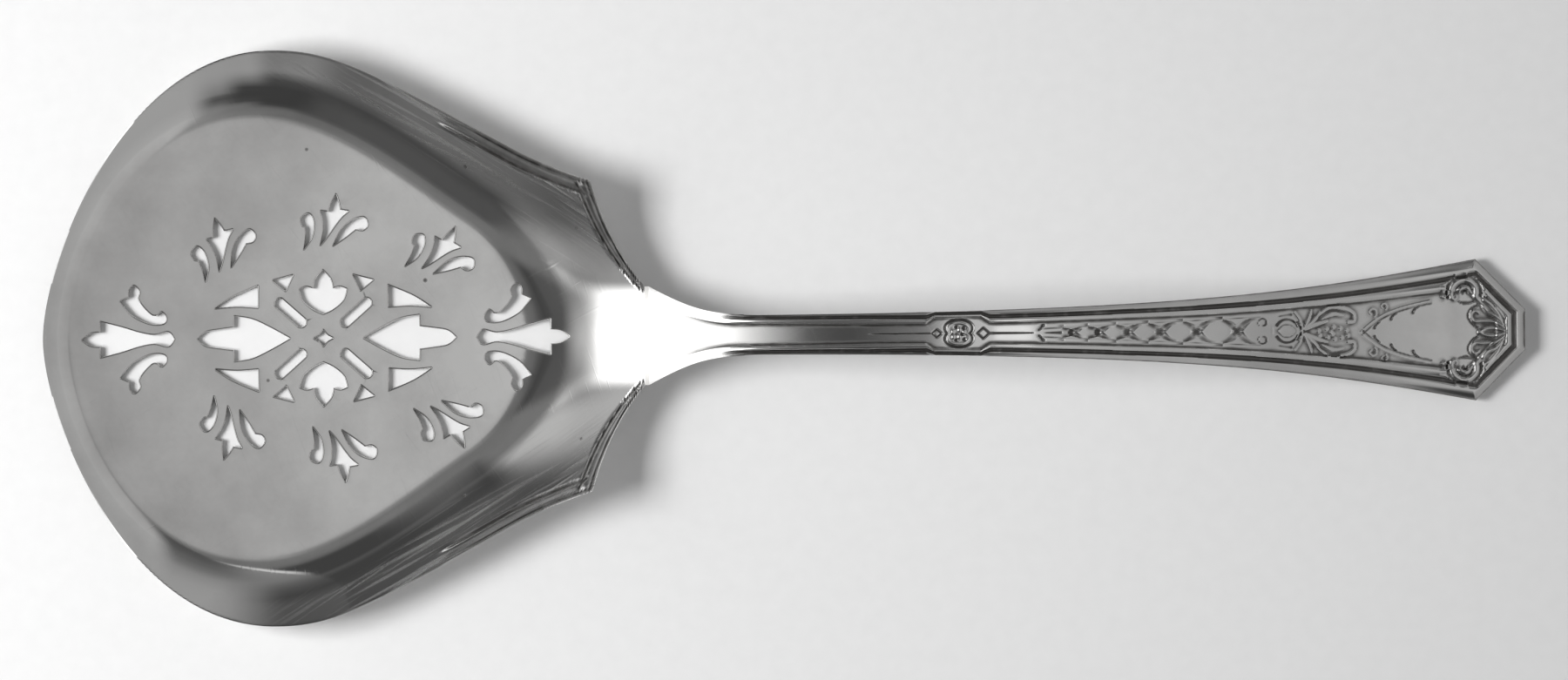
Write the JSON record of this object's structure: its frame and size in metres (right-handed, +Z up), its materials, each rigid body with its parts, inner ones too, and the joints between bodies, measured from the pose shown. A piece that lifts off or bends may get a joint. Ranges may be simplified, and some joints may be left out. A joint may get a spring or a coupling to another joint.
{
  "type": "bonbon spoon",
  "caption": "Silver serving spoon with a wide, shallow, pierced bowl and an arched, thread-bordered handle that is lap-soldered under the heel of the bowl.",
  "frame": {"origin": "on the table, under the middle of the spoon's length and width", "axes": "+X along the spoon towards the tip of the handle, +Z up from the table, +Y to the left of the handle seen from above"},
  "size_m": [0.127, 0.0492, 0.012],
  "materials": {
    "bowl_silver": "polished silver sheet, finely scratched",
    "handle_silver": "polished silver with dark tarnish left in the grooves",
    "solder_silver": "dull silver solder"
  },
  "bodies": {
    "root": {"bowl": "bowl_silver", "handle": "handle_silver", "solder_seam": "solder_silver"}
  },
  "joints": []
}
